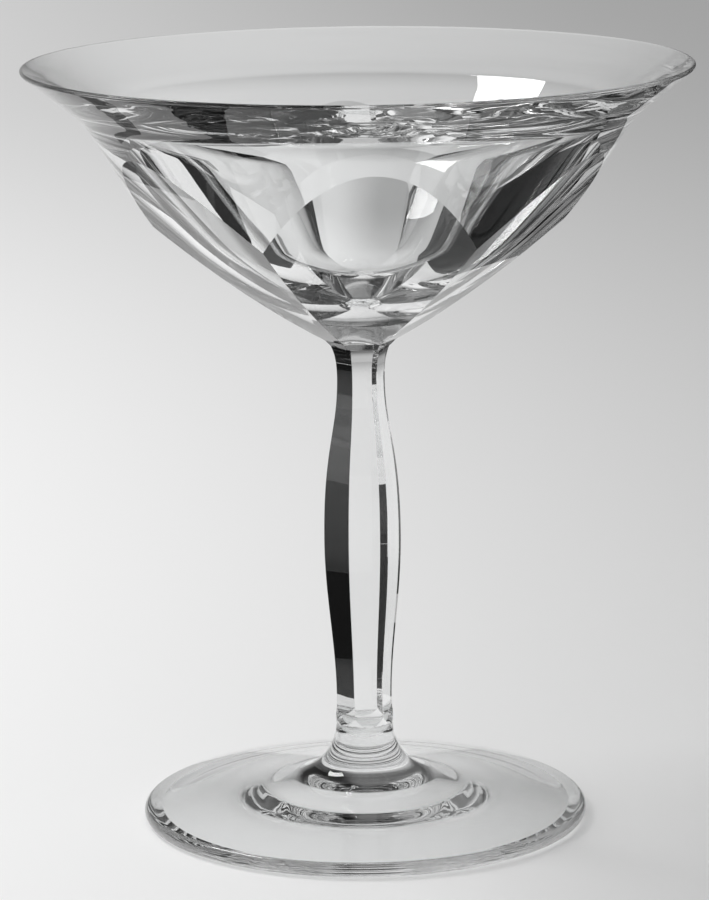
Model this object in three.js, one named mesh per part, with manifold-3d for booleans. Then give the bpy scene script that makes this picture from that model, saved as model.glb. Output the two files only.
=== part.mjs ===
// A footed sherbet glass in clear cut crystal: a six-panel bowl, a six-sided stem and a round foot.
// The three gathers of glass are fused to each other on two flat weld faces.
// Millimetres, +Z up. The origin is the middle of the foot, on the surface that the glass stands on.
// One panel of the bowl faces -Y, and the stem's flats are turned a little against the panels.
import * as THREE from "three";
import { mergeVertices } from "three/addons/utils/BufferGeometryUtils.js";
import Module from "manifold-3d";

// Cutting pattern
const panelCount = 6; // panels round the bowl, and flats round the stem

// Foot
const footRadius = 35.5;
const footEdge = 2.5; // thickness of the rounded edge
const footSlope = 10; // degrees, fall of the top from the stem to the edge
const footRing = 2; // width of the flat ring that it stands on
const footHollow = 4.2; // rise of the underside in the middle
const domeFlat = 8.5; // radius of the flatter middle of the underside
const stepInner = 15.2; // flat step between the dome and the skirt of the underside
const stepOuter = 19;
const stepRise = 2.2; // height of that step above the table
const skirtTurn = 0.3; // share of the skirt that stays flat outside the step
const sweepRadius = 9; // hollow sweep from the stem out to the foot
const sweepNeck = 4.5; // radius of the round neck above the sweep
const footWeldDrop = 2.9; // how far down the sweep the stem is fused on

// Stem, measured across its flats
const stemLength = 64; // from weld to weld
const stemTurn = 7; // degrees, turn of the flats against the bowl's panels
const headAcross = 8.2; // at the weld under the bowl
const neckAcross = 6.6; // the thinnest place, under the head
const neckDrop = 5.2; // from the bowl weld down to the neck
const bellyAcross = 10.7; // the thickest place
const bellyDrop = 31; // from the bowl weld down to the belly
const baseAcross = 7.7; // above the foot, where the flats start to run out
const baseRise = 6.2; // from the foot weld up to the base
const headTurn = 1.7; // from the bowl weld down to the turn of the head
const neckHold = 0.33; // share of the height to the belly that stays slim below the neck
const bellyHoldAbove = 0.58; // shares that stay full above and below the belly
const bellyHoldBelow = 0.37;
const baseHold = 0.37; // share that stays slim above the base
const blankSpare = 1; // glass outside the corners of the belly before cutting
const runOutClear = 0.3; // how far the flats pass out of the round neck

// Bowl
const bowlHeight = 44.6; // from the stem weld to the top of the rim
const rimRadius = 52.4;
const lipEdge = 0.8; // thickness of the rounded rim
const lipLean = 33; // degrees, slope of the wall where it meets the rim
const shoulderRadius = 43.1; // where the straight wall turns out into the lip
const shoulderDrop = 8; // from the rim down to the shoulder
const shoulderTurn = 2.5; // length of the soft turn on each side of the shoulder
const wallSlope = 57.5; // degrees, slope of the uncut wall under the shoulder
const collarOut = 0.75; // small bevel between the weld and the panels
const collarRise = 0.9;
const panelDrop = 12; // from the rim down to the top of each panel's arch
const panelBulge = 3.2; // pull of the panel's curve away from a straight line
const panelBulgePlace = 0.37; // where along the panel the curve is pulled
const panelWall = 3.8; // glass left behind the top of a panel
const floorThickness = 10; // solid glass under the cup
const cupLipDrop = 6.6; // from the rim down to where the inside turns out
const cupLipBend = 0.15; // share of the lip's length taken by that turn
const wheelClear = 1.6; // height that the cutting wheel runs on past the arch

// Fineness of the round stretches
const roundSides = 72;
const curveSteps = 8;
const edgeSteps = 6;

// Levels
const radians = THREE.MathUtils.degToRad;
const edgeRadius = footEdge / 2;
const edgeCentre = footRadius - edgeRadius;
const slope = radians(footSlope);
const topStart = new THREE.Vector2(
  edgeCentre + edgeRadius * Math.sin(slope),
  edgeRadius + edgeRadius * Math.cos(slope),
);
const sweepCentre = new THREE.Vector2(
  sweepNeck + sweepRadius,
  topStart.y + (topStart.x - sweepNeck - sweepRadius) * Math.tan(slope) + sweepRadius / Math.cos(slope),
);
const footWeld = sweepCentre.y - footWeldDrop;
const bowlWeld = footWeld + stemLength;
const rimTop = bowlWeld + bowlHeight;
const weldAngle = Math.asin(footWeldDrop / sweepRadius);
const footWeldRadius = sweepCentre.x - sweepRadius * Math.cos(weldAngle);

// Half of a width across the flats
const headFlat = headAcross / 2;
const neckFlat = neckAcross / 2;
const bellyFlat = bellyAcross / 2;
const baseFlat = baseAcross / 2;
const cornerShare = 1 / Math.cos(Math.PI / panelCount); // corner radius for each unit of flat radius

const wasm = await Module();
wasm.setup();

// A profile point: radius and height
const at = (radius, height) => new THREE.Vector2(radius, height);

// Points on an arc of a profile, angles in radians from the outward direction
function arc(centre, radius, start, end, steps) {
  return Array.from({ length: steps + 1 }, (_, i) => {
    const angle = start + ((end - start) * i) / steps;
    return at(centre.x + radius * Math.cos(angle), centre.y + radius * Math.sin(angle));
  });
}

const bend = (from, pull, to) => new THREE.QuadraticBezierCurve(from, pull, to).getPoints(curveSteps);

// A swell between two upright stretches: each hold is the share of the height kept near that end
function swell(from, to, fromHold, toHold) {
  const height = to.y - from.y;
  const leave = at(from.x, from.y + height * fromHold);
  const arrive = at(to.x, to.y - height * toHold);
  return new THREE.CubicBezierCurve(from, leave, arrive, to).getPoints(curveSteps);
}

// A profile turned about the Z axis, with a flat or a corner of the polygon towards -Y
function turned(profile, sides, startAngle) {
  const geometry = new THREE.LatheGeometry(profile, sides, startAngle);
  geometry.rotateX(Math.PI / 2);
  geometry.deleteAttribute("normal");
  geometry.deleteAttribute("uv");
  return mergeVertices(geometry);
}

const round = (profile) => turned(profile, roundSides, 0);

// A solid with flat sides: the profile is given at the middle of the flats, and one flat is turned from -Y
function flatSided(profile, turn) {
  const corners = profile.map((p) => at(p.x * cornerShare, p.y));
  return turned(corners, panelCount, Math.PI / panelCount + turn);
}

function solid(geometry) {
  return new wasm.Manifold(
    new wasm.Mesh({
      numProp: 3,
      vertProperties: geometry.attributes.position.array,
      triVerts: new Uint32Array(geometry.index.array),
    }),
  );
}

// The glass that a blank keeps when the wheel has cut its flats
function cut(blank, flats) {
  const mesh = solid(blank).intersect(solid(flats)).getMesh();
  const geometry = new THREE.BufferGeometry();
  geometry.setAttribute("position", new THREE.BufferAttribute(mesh.vertProperties, mesh.numProp));
  geometry.setIndex(new THREE.BufferAttribute(mesh.triVerts, 1));
  geometry.computeVertexNormals();
  return geometry;
}

function footGeometry() {
  const ringInner = edgeCentre - footRing;
  const dome = bend(at(0, footHollow), at(domeFlat, footHollow), at(stepInner, stepRise));
  const skirtPull = at(stepOuter + (ringInner - stepOuter) * skirtTurn, stepRise);
  const skirt = bend(at(stepOuter, stepRise), skirtPull, at(ringInner, 0));
  const edge = arc(at(edgeCentre, edgeRadius), edgeRadius, -Math.PI / 2, Math.PI / 2 - slope, edgeSteps);
  const sweepFoot = 1.5 * Math.PI - slope;
  const sweep = arc(sweepCentre, sweepRadius, sweepFoot, Math.PI + weldAngle, curveSteps);
  return round([...dome, ...skirt, ...edge, ...sweep, at(0, footWeld)]);
}

function stemGeometry() {
  const neck = at(neckFlat, bowlWeld - neckDrop);
  const belly = at(bellyFlat, bowlWeld - bellyDrop);
  const base = at(baseFlat, footWeld + baseRise);
  const runOut = at(footWeldRadius + runOutClear, (footWeld + sweepCentre.y) / 2);
  const outline = [
    at(0, footWeld),
    at(runOut.x, footWeld),
    ...bend(runOut, at(baseFlat, sweepCentre.y + runOutClear), base),
    ...swell(base, belly, baseHold, bellyHoldBelow).slice(1),
    ...swell(belly, neck, bellyHoldAbove, neckHold).slice(1),
    ...bend(neck, at(neckFlat, bowlWeld - headTurn), at(headFlat, bowlWeld)).slice(1),
    at(0, bowlWeld),
  ];
  const flats = flatSided(outline, radians(stemTurn));
  const blankRadius = bellyFlat * cornerShare + blankSpare;
  const blank = round([
    at(0, footWeld),
    ...arc(sweepCentre, sweepRadius, Math.PI + weldAngle, Math.PI, edgeSteps),
    at(blankRadius, belly.y),
    at(blankRadius, bowlWeld),
    at(0, bowlWeld),
  ]);
  return cut(blank, flats);
}

function bowlGeometry() {
  const wallAngle = radians(wallSlope);
  const shoulder = at(shoulderRadius, rimTop - shoulderDrop);
  const wallRadius = (height) => shoulder.x - (shoulder.y - height) / Math.tan(wallAngle);

  // Panels: one curve from the collar up to the arch, where it meets the wall
  const collar = at(headFlat + collarOut, bowlWeld + collarRise);
  const archTop = at(wallRadius(rimTop - panelDrop), rimTop - panelDrop);
  const chord = archTop.clone().sub(collar);
  const outward = at(chord.y, -chord.x).normalize();
  const pull = collar.clone().addScaledVector(chord, panelBulgePlace).addScaledVector(outward, panelBulge);
  const rise = archTop.clone().sub(pull);
  const panelAngle = Math.atan2(rise.y, rise.x);
  const wheelEnd = at(archTop.x + wheelClear / Math.tan(panelAngle), archTop.y + wheelClear);
  const clearOfRim = rimRadius + wheelClear;
  const outline = [
    at(0, bowlWeld),
    at(headFlat, bowlWeld),
    ...bend(collar, pull, archTop),
    wheelEnd,
    at(clearOfRim, wheelEnd.y),
    at(clearOfRim, rimTop + wheelClear),
    at(0, rimTop + wheelClear),
  ];
  const flats = flatSided(outline, 0);

  // Rounded rim
  const lipRadius = lipEdge / 2;
  const lean = radians(lipLean);
  const lipCentre = at(rimRadius - lipRadius, rimTop - lipRadius);
  const lip = arc(lipCentre, lipRadius, lean - Math.PI / 2, lean + Math.PI / 2, edgeSteps);
  const lipOuter = lip[0];
  const lipInner = lip[edgeSteps];

  // Soft turn at the shoulder, from the wall out into the flared lip
  const upWall = at(Math.cos(wallAngle), Math.sin(wallAngle));
  const upLip = lipOuter.clone().sub(shoulder).normalize();
  const turn = bend(
    shoulder.clone().addScaledVector(upWall, -shoulderTurn),
    shoulder,
    shoulder.clone().addScaledVector(upLip, shoulderTurn),
  );

  // Inside: a flared lip, a straight wall behind the panels and a round bottom
  const inside = at(
    archTop.x - panelWall * Math.sin(panelAngle),
    archTop.y + panelWall * Math.cos(panelAngle),
  );
  const cupLip = at(0, rimTop - cupLipDrop);
  cupLip.x = inside.x + (cupLip.y - inside.y) / Math.tan(panelAngle);
  const turnOut = cupLip.distanceTo(lipInner) * cupLipBend;
  const cupPull = at(
    cupLip.x + turnOut * Math.cos(panelAngle),
    cupLip.y + turnOut * Math.sin(panelAngle),
  );
  const floor = bowlWeld + floorThickness;
  const coneTip = inside.y - inside.x * Math.tan(panelAngle);
  const cupRadius = ((floor - coneTip) * Math.cos(panelAngle)) / (1 - Math.cos(panelAngle));
  const cupCentre = at(0, floor + cupRadius);
  const bottom = arc(cupCentre, cupRadius, panelAngle - Math.PI / 2, -Math.PI / 2, curveSteps);
  bottom[curveSteps].x = 0;

  const blank = round([
    at(0, bowlWeld),
    at(wallRadius(bowlWeld), bowlWeld),
    ...turn,
    ...lip,
    ...bend(lipInner, cupPull, cupLip).slice(1),
    ...bottom,
  ]);
  return cut(blank, flats);
}

// Clear lead crystal, with the faint grey of thick glass in the stem and foot
const clearCrystal = 0xf2f5f5;
const thickCrystal = 0xebeff0;

function piece(name, geometry, colour) {
  const material = new THREE.MeshStandardMaterial({ color: colour, roughness: 0.03, metalness: 0 });
  const mesh = new THREE.Mesh(geometry, material);
  mesh.name = name;
  return mesh;
}

const glass = new THREE.Group();
glass.add(piece("bowl", bowlGeometry(), clearCrystal));
glass.add(piece("stem", stemGeometry(), thickCrystal));
glass.add(piece("foot", footGeometry(), thickCrystal));

export default glass;
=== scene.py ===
# A footed sherbet glass in clear cut crystal, on a pale studio table.
# Metres, +Z up, in the frame of the solids: the origin is under the middle of the foot.
import math

import bpy
from mathutils import Matrix, Vector


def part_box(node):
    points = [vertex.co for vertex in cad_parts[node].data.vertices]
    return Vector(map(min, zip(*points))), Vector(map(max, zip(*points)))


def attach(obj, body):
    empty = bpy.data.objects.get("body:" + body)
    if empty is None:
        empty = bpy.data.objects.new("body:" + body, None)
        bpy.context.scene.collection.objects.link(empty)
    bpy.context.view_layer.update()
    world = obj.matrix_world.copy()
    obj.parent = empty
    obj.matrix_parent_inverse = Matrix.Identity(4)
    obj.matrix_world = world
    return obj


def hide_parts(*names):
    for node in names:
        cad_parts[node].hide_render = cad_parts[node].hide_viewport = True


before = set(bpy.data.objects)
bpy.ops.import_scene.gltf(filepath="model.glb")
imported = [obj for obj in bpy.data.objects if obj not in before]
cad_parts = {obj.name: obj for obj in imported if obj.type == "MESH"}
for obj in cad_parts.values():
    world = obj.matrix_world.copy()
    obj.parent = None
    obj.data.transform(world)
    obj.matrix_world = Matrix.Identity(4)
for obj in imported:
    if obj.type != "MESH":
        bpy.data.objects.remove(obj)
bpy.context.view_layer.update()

# Sizes that the solids give
foot_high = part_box("foot")[1]
bowl_low, bowl_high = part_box("bowl")
foot_radius = foot_high.x
foot_weld = foot_high.z
bowl_weld = bowl_low.z
rim_radius = bowl_high.x
rim_top = bowl_high.z

# Cutting pattern
panel_count = 6
panel_turn = math.tau / panel_count

# Foot
foot_edge = 0.0025
foot_slope = math.radians(10)
foot_ring = 0.002
foot_hollow = 0.0042
dome_flat = 0.0085
step_inner = 0.0152
step_outer = 0.019
step_rise = 0.0022
skirt_turn = 0.3
sweep_radius = 0.009
sweep_neck = 0.0045
foot_weld_drop = 0.0029

# Stem, measured from its axis to a flat, and turned a little against the bowl's panels
stem_turn = math.radians(7)
head_flat = 0.0041
neck_flat = 0.0033
neck_drop = 0.0052
belly_flat = 0.00535
belly_drop = 0.031
base_flat = 0.00385
base_rise = 0.0062
head_turn = 0.0017
neck_hold = 0.33
belly_hold_above = 0.58
belly_hold_below = 0.37
base_hold = 0.37
blank_spare = 0.001
run_out_clear = 0.0003

# Bowl
lip_edge = 0.0008
lip_lean = math.radians(33)
shoulder_radius = 0.0431
shoulder_drop = 0.008
shoulder_turn = 0.0025
wall_slope = math.radians(57.5)
collar_out = 0.00075
collar_rise = 0.0009
panel_drop = 0.012
panel_bulge = 0.0032
panel_bulge_place = 0.37
panel_wall = 0.0038
floor_thickness = 0.01
cup_lip_drop = 0.0066
cup_lip_bend = 0.15

# Columns of faces in each sixth of a piece
bowl_columns = 32
stem_columns = 12
foot_columns = 24

# Rows of faces on each stretch of an outline
dome_rows = 12
step_rows = 4
skirt_rows = 12
ring_rows = 3
edge_rows = 14
top_rows = 10
sweep_rows = 28
neck_rows = 14
run_out_rows = 12
swell_rows = 30
head_rows = 10
bevel_rows = 2
panel_rows = 28
wall_rows = 8
shoulder_rows = 12
flare_rows = 12
lip_rows = 12
cup_turn_rows = 16
cup_wall_rows = 10
cup_bottom_rows = 24

# Halvings in the search for the place where a flat meets the round glass
search_steps = 40


# Curves of a profile: each point is a radius and a height
def at(radius, height):
    return Vector((radius, height))


def along(start, end, steps):
    return [start.lerp(end, i / steps) for i in range(steps + 1)]


def arc(centre, radius, start, end, steps):
    angles = [start + (end - start) * i / steps for i in range(steps + 1)]
    return [centre + radius * at(math.cos(a), math.sin(a)) for a in angles]


def bend(start, pull, end):
    return lambda t: start.lerp(pull, t).lerp(pull.lerp(end, t), t)


def swell(start, end, start_hold, end_hold):
    rise = end.y - start.y
    leave = at(start.x, start.y + rise * start_hold)
    arrive = at(end.x, end.y - rise * end_hold)
    lower = bend(start, leave, arrive)
    upper = bend(leave, arrive, end)
    return lambda t: lower(t).lerp(upper(t), t)


def follow(curve, steps, first=0.0, last=1.0):
    return [curve(first + (last - first) * i / steps) for i in range(steps + 1)]


def joined(*stretches):
    """Stretches that each start where the last one ended."""
    return stretches[0] + [point for stretch in stretches[1:] for point in stretch[1:]]


def spread(points, angle):
    """The outline at the middle of a flat, taken at an angle from that middle."""
    return [at(p.x / math.cos(angle), p.y) for p in points]


def meeting(curve, blank_radius, angle):
    """The place on a flat's curve where it passes through the round blank."""
    inside, outside = sorted((0.0, 1.0), key=lambda t: curve(t).x)
    for _ in range(search_steps):
        middle = (inside + outside) / 2
        point = curve(middle)
        if point.x / math.cos(angle) < blank_radius(point.y):
            inside = middle
        else:
            outside = middle
    return inside


# Levels of the foot
edge_radius = foot_edge / 2
edge_centre = at(foot_radius - edge_radius, edge_radius)
top_start = edge_centre + edge_radius * at(math.sin(foot_slope), math.cos(foot_slope))
sweep_centre = at(sweep_neck + sweep_radius, foot_weld + foot_weld_drop)
weld_angle = math.asin(foot_weld_drop / sweep_radius)
foot_weld_radius = sweep_centre.x - sweep_radius * math.cos(weld_angle)


def foot_outline(angle):
    ring_inner = edge_centre.x - foot_ring
    dome = bend(at(0, foot_hollow), at(dome_flat, foot_hollow), at(step_inner, step_rise))
    skirt_pull = at(step_outer + (ring_inner - step_outer) * skirt_turn, step_rise)
    skirt = bend(at(step_outer, step_rise), skirt_pull, at(ring_inner, 0))
    ring = along(at(ring_inner, 0), at(edge_centre.x, 0), ring_rows)
    edge = arc(edge_centre, edge_radius, -math.pi / 2, math.pi / 2 - foot_slope, edge_rows)
    sweep_foot = 1.5 * math.pi - foot_slope
    sweep = arc(sweep_centre, sweep_radius, sweep_foot, math.pi + weld_angle, sweep_rows)
    top = along(top_start, sweep[0], top_rows)
    return [
        ("hollow", joined(
            follow(dome, dome_rows),
            along(dome(1), skirt(0), step_rows),
            follow(skirt, skirt_rows),
        )),
        ("round", joined(ring, edge, top, sweep)),
        ("weld", along(sweep[-1], at(0, foot_weld), 1)),
    ]


# Levels of the stem
neck = at(neck_flat, bowl_weld - neck_drop)
belly = at(belly_flat, bowl_weld - belly_drop)
base = at(base_flat, foot_weld + base_rise)
run_out = bend(
    at(foot_weld_radius + run_out_clear, (foot_weld + sweep_centre.y) / 2),
    at(base_flat, sweep_centre.y + run_out_clear),
    base,
)
stem_head = bend(neck, at(neck_flat, bowl_weld - head_turn), at(head_flat, bowl_weld))
below_belly = swell(base, belly, base_hold, belly_hold_below)
above_belly = swell(belly, neck, belly_hold_above, neck_hold)


def stem_blank(height):
    drop = sweep_centre.y - height
    if drop > 0:
        return sweep_centre.x - math.sqrt(sweep_radius ** 2 - drop ** 2)
    widest = belly_flat / math.cos(panel_turn / 2) + blank_spare
    return sweep_neck - drop * (widest - sweep_neck) / (belly.y - sweep_centre.y)


def stem_outline(angle):
    start = meeting(run_out, stem_blank, angle)
    flats = joined(
        follow(run_out, run_out_rows, start, 1),
        follow(below_belly, swell_rows),
        follow(above_belly, swell_rows),
        follow(stem_head, head_rows),
    )
    heights = along(at(0, foot_weld), run_out(start), neck_rows)
    neck_round = [at(stem_blank(p.y), p.y) for p in heights]
    flats = spread(flats, angle)
    return [
        ("weld", along(at(0, foot_weld), neck_round[0], 1)),
        ("round", neck_round),
        ("flat", flats),
        ("weld", along(flats[-1], at(0, bowl_weld), 1)),
    ]


# Levels of the bowl
shoulder = at(shoulder_radius, rim_top - shoulder_drop)


def wall_radius(height):
    return shoulder.x - (shoulder.y - height) / math.tan(wall_slope)


collar = at(head_flat + collar_out, bowl_weld + collar_rise)
arch_top = at(wall_radius(rim_top - panel_drop), rim_top - panel_drop)
panel_chord = arch_top - collar
panel_out = at(panel_chord.y, -panel_chord.x).normalized()
panel_pull = collar + panel_chord * panel_bulge_place + panel_out * panel_bulge
panel = bend(collar, panel_pull, arch_top)
panel_along = (arch_top - panel_pull).normalized()
panel_angle = math.atan2(panel_along.y, panel_along.x)

lip_radius = lip_edge / 2
lip_centre = at(rim_radius - lip_radius, rim_top - lip_radius)
lip = arc(lip_centre, lip_radius, lip_lean - math.pi / 2, lip_lean + math.pi / 2, lip_rows)
up_wall = at(math.cos(wall_slope), math.sin(wall_slope))
up_lip = (lip[0] - shoulder).normalized()
shoulder_start = shoulder - up_wall * shoulder_turn
shoulder_end = shoulder + up_lip * shoulder_turn

inside = arch_top + panel_wall * at(-panel_along.y, panel_along.x)
cup_lip = inside + panel_along * ((rim_top - cup_lip_drop - inside.y) / panel_along.y)
cup_pull = cup_lip + panel_along * ((lip[-1] - cup_lip).length * cup_lip_bend)
cup_turn = bend(lip[-1], cup_pull, cup_lip)
cup_floor = bowl_weld + floor_thickness
cone_tip = inside.y - inside.x * math.tan(panel_angle)
cup_radius = (cup_floor - cone_tip) * math.cos(panel_angle) / (1 - math.cos(panel_angle))
cup_centre = at(0, cup_floor + cup_radius)
cup_bottom = arc(cup_centre, cup_radius, panel_angle - math.pi / 2, -math.pi / 2, cup_bottom_rows)


def bowl_outline(angle):
    cut = spread(follow(panel, panel_rows, 0, meeting(panel, wall_radius, angle)), angle)
    bevel = spread(along(at(head_flat, bowl_weld), collar, bevel_rows), angle)
    return [
        ("weld", along(at(0, bowl_weld), bevel[0], 1)),
        ("bevel", bevel),
        ("flat", cut),
        ("round", joined(
            along(cut[-1], shoulder_start, wall_rows),
            follow(bend(shoulder_start, shoulder, shoulder_end), shoulder_rows),
            along(shoulder_end, lip[0], flare_rows),
            lip,
            follow(cup_turn, cup_turn_rows),
            along(cup_lip, cup_bottom[0], cup_wall_rows),
            cup_bottom,
        )),
    ]


# Pieces: edges between two kinds of surface are sharp, and so are the corners between flats
def turned(name, columns, outline, first_turn, materials):
    count = columns * panel_count
    rings = []
    for column in range(count):
        sector, step = divmod(column, columns)
        angle = panel_turn * (step / columns - 0.5)
        turn = panel_turn * sector + angle + first_turn - math.pi / 2
        stretches = outline(angle)
        rows = joined(*(points for kind, points in stretches))
        rings.append([(p.x * math.cos(turn), p.x * math.sin(turn), p.y) for p in rows])
    kinds = [kind for kind, points in stretches for _ in points[1:]]
    last = len(kinds)

    def corner(row, column):
        if row == 0:
            return 0
        return 1 + (row - 1) * count + (column % count if row < last else 0)

    points = [rings[0][0]]
    points += [rings[column][row] for row in range(1, last) for column in range(count)]
    points.append(rings[0][last])
    faces = []
    for row in range(last):
        for column in range(count):
            loop = [corner(row, column), corner(row, column + 1)]
            loop += [corner(row + 1, column + 1), corner(row + 1, column)]
            faces.append(list(dict.fromkeys(loop)))
    mesh = bpy.data.meshes.new(name)
    mesh.from_pydata(points, [], faces)
    mesh.shade_smooth()
    for material in materials:
        mesh.materials.append(material)
    on_weld = [kind == "weld" for kind in kinds for _ in range(count)]
    mesh.polygons.foreach_set("material_index", on_weld)

    # The first point is row 0, and every row after it has one point in each column
    sharp = []
    for edge in mesh.edges:
        low, high = sorted((v + count - 1) // count for v in edge.vertices)
        if low == high:
            sharp.append(kinds[low - 1] != kinds[low])
        else:
            on_corner = (max(edge.vertices[0], 1) - 1) % columns == 0
            sharp.append(on_corner and kinds[low] in ("bevel", "flat"))
    mesh.attributes.new("sharp_edge", "BOOLEAN", "EDGE").data.foreach_set("value", sharp)

    piece = bpy.data.objects.new(name, mesh)
    bpy.context.collection.objects.link(piece)
    return piece


# Clear lead crystal
glass_tint = (0.985, 0.99, 0.99, 1)
glass_index = 1.54

# Hand-worked waves in the flared lip: long round the rim, short across it
wave_depth = 0.00003
wave_length = 0.016
wave_width = 0.0022
wave_start = 0.002  # inside the shoulder, where the waves begin to grow
wave_full = 0.0005  # outside the shoulder, where they have their full depth
wave_rest = 0.03  # share of their depth on the rest of the glass


# Materials: arithmetic on a shade adds Math nodes
class Shade:
    def __init__(self, tree, socket=None):
        self.tree = tree
        self.socket = socket

    def node(self, kind, settings=None, inputs=None, output=0):
        made = self.tree.nodes.new(kind)
        for name, value in (settings or {}).items():
            setattr(made, name, value)
        for name, value in (inputs or {}).items():
            if isinstance(value, Shade):
                self.tree.links.new(value.socket, made.inputs[name])
            else:
                made.inputs[name].default_value = value
        return Shade(self.tree, made.outputs[output] if len(made.outputs) else None)

    def axis(self, name):
        return self.node("ShaderNodeSeparateXYZ", None, {"Vector": self}, output=name)

    def length(self):
        return self.node("ShaderNodeVectorMath", {"operation": "LENGTH"}, {0: self}, output="Value")

    def fade(self, start, end, first, last):
        """A soft passage from first to last, while this value goes from start to end."""
        return self.node("ShaderNodeMapRange", {"interpolation_type": "SMOOTHSTEP"}, {
            "Value": self,
            "From Min": start,
            "From Max": end,
            "To Min": first,
            "To Max": last,
        })

    def maths(self, operation, first, second):
        return self.node("ShaderNodeMath", {"operation": operation}, {0: first, 1: second})

    def __add__(self, other):
        return self.maths("ADD", self, other)

    def __radd__(self, other):
        return self.maths("ADD", other, self)

    def __sub__(self, other):
        return self.maths("SUBTRACT", self, other)

    def __rsub__(self, other):
        return self.maths("SUBTRACT", other, self)

    def __mul__(self, other):
        return self.maths("MULTIPLY", self, other)

    def __rmul__(self, other):
        return self.maths("MULTIPLY", other, self)


def new_material(name):
    material = bpy.data.materials.new(name)
    material.use_nodes = True
    material.node_tree.nodes.clear()
    return material, Shade(material.node_tree)


def crystal_material():
    material, shade = new_material("clear_crystal")
    place = shade.node("ShaderNodeTexCoord", output="Object")
    outward = shade.node("ShaderNodeVectorMath", {"operation": "MULTIPLY"}, {0: place, 1: (1, 1, 0)})
    radius = outward.length()
    flare = radius.fade(shoulder_radius - wave_start, shoulder_radius + wave_full, wave_rest, 1.0)
    around = shade.node("ShaderNodeVectorMath", {"operation": "NORMALIZE"}, {0: outward})
    across = shade.node("ShaderNodeCombineXYZ", None, {"Z": radius * (1 / wave_width)})
    arcs = rim_radius / wave_length
    spot = shade.node("ShaderNodeVectorMath", {"operation": "MULTIPLY_ADD"}, {
        0: around,
        1: (arcs, arcs, 0),
        2: across,
    })
    waves = shade.node("ShaderNodeTexNoise", None, {"Vector": spot, "Scale": 1.0, "Detail": 1.0})
    bump = shade.node("ShaderNodeBump", None, {
        "Height": waves * flare,
        "Strength": 1.0,
        "Distance": wave_depth,
    })
    glass = shade.node("ShaderNodeBsdfPrincipled", None, {
        "Base Color": glass_tint,
        "Roughness": 0.0,
        "IOR": glass_index,
        "Transmission Weight": 1.0,
        "Normal": bump,
    })
    shade.node("ShaderNodeOutputMaterial", None, {"Surface": glass})
    return material


def fused_material():
    material, shade = new_material("fused_joint")
    clear = shade.node("ShaderNodeBsdfPrincipled", None, {"Alpha": 0.0})
    shade.node("ShaderNodeOutputMaterial", None, {"Surface": clear})
    return material


finishes = [crystal_material(), fused_material()]
for node, columns, outline, first_turn in (
    ("bowl", bowl_columns, bowl_outline, 0),
    ("stem", stem_columns, stem_outline, stem_turn),
    ("foot", foot_columns, foot_outline, 0),
):
    piece = turned("crystal_" + node, columns, outline, first_turn, finishes)
    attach(piece, "root")
    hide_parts(node)


# Paper: painted light and shade on its tone, lighter on the left and near the glass and darker to the
# right and far off, where the light falls less; its tones on the left and right, and the places between
# which they pass into each other
near_left, near_right = 0.94, 0.58
near_sides = (-0.14, 0.16)
far_left, far_right = 0.74, 0.4
far_sides = (-0.25, 0.25)
far_distances = (0.1, 1.0)
outer_left = 0.74  # painted shade: share of the tone that is left on the far left
outer_sides = (-0.5, -0.12)
horizon_tone = 0.5
horizon_distances = (1.2, 2.6)
foot_painted_light = 1.2  # painted light: share by which the tone is raised under the foot, where the glass keeps the lamp's light off
foot_painted_light_edge = 0.004
grain_scale = 900.0
grain_strength = 0.05
grain_depth = 0.0002

# Floor
floor_radius = 3.0
floor_sides = 96
floor_level = -0.0002


def link(thing):
    bpy.context.collection.objects.link(thing)
    return thing


def sheet(name, corners, material):
    mesh = bpy.data.meshes.new(name)
    mesh.from_pydata(corners, [], [list(range(len(corners)))])
    mesh.materials.append(material)
    return link(bpy.data.objects.new(name, mesh))


def paper_material():
    material, shade = new_material("pale_paper_painted_light")
    place = shade.node("ShaderNodeTexCoord", output="Object")
    across = place.axis("X")
    distance = place.length()
    # Painted light and shade: the tone is lighter on the left and near the glass, darker to the right and
    # far off, and then passes into the horizon grey
    near = across.fade(*near_sides, near_left, near_right)
    far = across.fade(*far_sides, far_left, far_right)
    outer = across.fade(*outer_sides, outer_left, 1.0)
    level = (near + (far - near) * distance.fade(*far_distances, 0.0, 1.0)) * outer
    level = level + (horizon_tone - level) * distance.fade(*horizon_distances, 0.0, 1.0)
    # Painted light: the tone is raised under the foot, in place of the lamp's light that the glass keeps
    # off
    level = level * distance.fade(foot_radius - foot_painted_light_edge, foot_radius, foot_painted_light, 1.0)
    tone = shade.node("ShaderNodeCombineColor", None, {"Red": level, "Green": level, "Blue": level})
    grain = shade.node("ShaderNodeTexNoise", None, {"Vector": place, "Scale": grain_scale, "Detail": 2.0})
    bump = shade.node("ShaderNodeBump", None, {
        "Height": grain,
        "Strength": grain_strength,
        "Distance": grain_depth,
    })
    paper = shade.node("ShaderNodeBsdfPrincipled", None, {
        "Base Color": tone,
        "Roughness": 0.9,
        "Specular IOR Level": 0.0,
        "Normal": bump,
    })
    shade.node("ShaderNodeOutputMaterial", None, {"Surface": paper})
    return material


def cloth_material(name, tone):
    material, shade = new_material(name)
    cloth = shade.node("ShaderNodeBsdfPrincipled", None, {
        "Base Color": (tone, tone, tone, 1),
        "Roughness": 1.0,
        "Specular IOR Level": 0.0,
    })
    shade.node("ShaderNodeOutputMaterial", None, {"Surface": cloth})
    return material


floor_edge = [math.tau * i / floor_sides for i in range(floor_sides)]
sheet(
    "floor",
    [(floor_radius * math.cos(a), floor_radius * math.sin(a), floor_level) for a in floor_edge],
    paper_material(),
)

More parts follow.
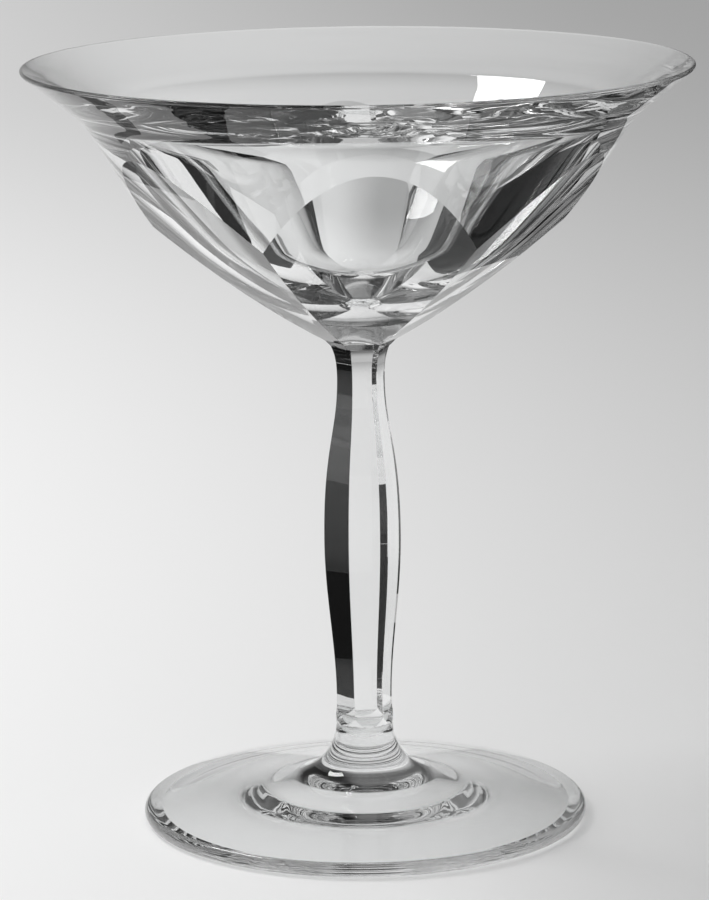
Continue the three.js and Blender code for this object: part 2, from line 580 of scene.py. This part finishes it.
# Dark cloths beside the paper and a card that stands on the left: only the glass shows them
cloth_level = 0.0005
right_edge = [
    (0.045, -0.06),
    (0.0455, 0.0),
    (0.05, 0.06),
    (0.066, 0.16),
    (0.115, 0.26),
    (0.33, 0.7),
    (0.8, 1.6),
]
right_end = 2.5
right_cloth = [(right_end, right_edge[-1][1]), (right_end, right_edge[0][1])] + right_edge
left_cloth = [
    (-0.053, -0.03),
    (-0.053, 0.033),
    (-0.09, 0.06),
    (-0.337, 0.215),
    (-0.5, 0.25),
    (-0.5, -0.03),
]
back_cloth = [(-0.078, 0.117), (-0.091, 0.104), (-0.13, 0.143), (-0.113, 0.165)]
card_ends = [(-0.383, 0.321), (-0.481, 0.138)]
card_height = 0.24


def at_height(outline, height):
    return [(x, y, height) for x, y in outline]


left_card = at_height(card_ends, cloth_level) + at_height(card_ends[::-1], card_height)
for name, corners, tone in (
    ("dark_flag_right", at_height(right_cloth, cloth_level), 0.006),
    ("dark_flag_left", at_height(left_cloth, cloth_level), 0.03),
    ("dark_flag_back", at_height(back_cloth, cloth_level), 0.25),
    ("dark_flag_card", left_card, 0.02),
):
    cloth = sheet(name, corners, cloth_material(name, tone))
    cloth.visible_camera = False
    cloth.visible_diffuse = False
    cloth.visible_shadow = False

# Soft box, high on the left: the glass mirrors it, and doesn't show it by refraction
box_end = Vector((-0.507, 0.089, 0.857))  # directions from the glass that set how the box lies
box_start = Vector((-0.592, 0.430, 0.682))
box_distance = 1.6
box_length = 0.64
box_width = 0.2
box_shift = 0.15
box_power = 5.0
box_toward = (box_end + box_start).normalized()
box_along = box_end - box_start
box_along = (box_along - box_toward * box_along.dot(box_toward)).normalized()
box_across = box_toward.cross(box_along)
box_place = box_toward * box_distance + box_across * box_shift
box_data = bpy.data.lights.new("soft_box", "AREA")
box_data.shape = "RECTANGLE"
box_data.size = box_length
box_data.size_y = box_width
box_data.energy = box_power
soft_box = link(bpy.data.objects.new("soft_box", box_data))
soft_box.visible_transmission = False
soft_box.matrix_world = (
    Matrix.Translation(box_place)
    @ Matrix((box_along, box_across, box_toward)).transposed().to_4x4()
)


# Room: the grey that the camera sees, the soft light on the paper and what the glass mirrors
seen_level = 0.46
soft_light = 0.84
soft_slant = 0.8  # share by which the soft light is stronger from the left and weaker from the right
low_level, high_level = 0.5, 0.14
low_to_high = (0.06, 0.3)
right_share = 0.02
left_to_right = (0.1, 0.35)
front_share = 0.3
front_to_back = (-0.6, 0.2)


def room():
    world = bpy.data.worlds.new("room")
    world.use_nodes = True
    world.node_tree.nodes.clear()
    shade = Shade(world.node_tree)
    toward = shade.node("ShaderNodeTexCoord", output="Generated")
    upward = toward.axis("Z").fade(*low_to_high, low_level, high_level)
    rightward = toward.axis("X").fade(*left_to_right, 1.0, right_share)
    backward = toward.axis("Y").fade(*front_to_back, front_share, 1.0)
    mirrored = upward * rightward * backward
    slant = soft_light * (1 - soft_slant * toward.axis("X"))
    bounced = shade.node("ShaderNodeLightPath", output="Diffuse Depth")
    soft = shade.maths("MINIMUM", bounced, 1.0)
    unseen = soft * slant + (1 - soft) * mirrored
    seen = shade.node("ShaderNodeLightPath", output="Is Camera Ray")
    level = seen * seen_level + (1 - seen) * unseen
    light = shade.node("ShaderNodeBackground", None, {"Color": (1, 1, 1, 1), "Strength": level})
    shade.node("ShaderNodeOutputWorld", None, {"Surface": light})
    return world


bpy.context.scene.world = room()


# Camera, as the photograph was taken
camera_turn = math.radians(-3.3)
camera_distance = 0.648
camera_height = 0.1973
camera_pitch = math.radians(12.0)
camera_pan = math.radians(0.1)
camera_roll = math.radians(-0.64)
camera_lens = 167.5

camera_data = bpy.data.cameras.new("camera")
camera_data.lens = camera_lens
camera = bpy.data.objects.new("camera", camera_data)
bpy.context.collection.objects.link(camera)
camera.matrix_world = (
    Matrix.Rotation(camera_turn, 4, "Z")
    @ Matrix.Translation((0, -camera_distance, camera_height))
    @ Matrix.Rotation(camera_pan, 4, "Z")
    @ Matrix.Rotation(math.pi / 2 - camera_pitch, 4, "X")
    @ Matrix.Rotation(camera_roll, 4, "Z")
)
bpy.context.scene.camera = camera
bpy.context.scene.view_settings.view_transform = "Standard"

# Light paths long enough for the thick glass, and kept sharp behind it
path_bounces = 32
paths = bpy.context.scene.cycles
paths.max_bounces = path_bounces
paths.transmission_bounces = path_bounces
paths.glossy_bounces = path_bounces
paths.blur_glossy = 0
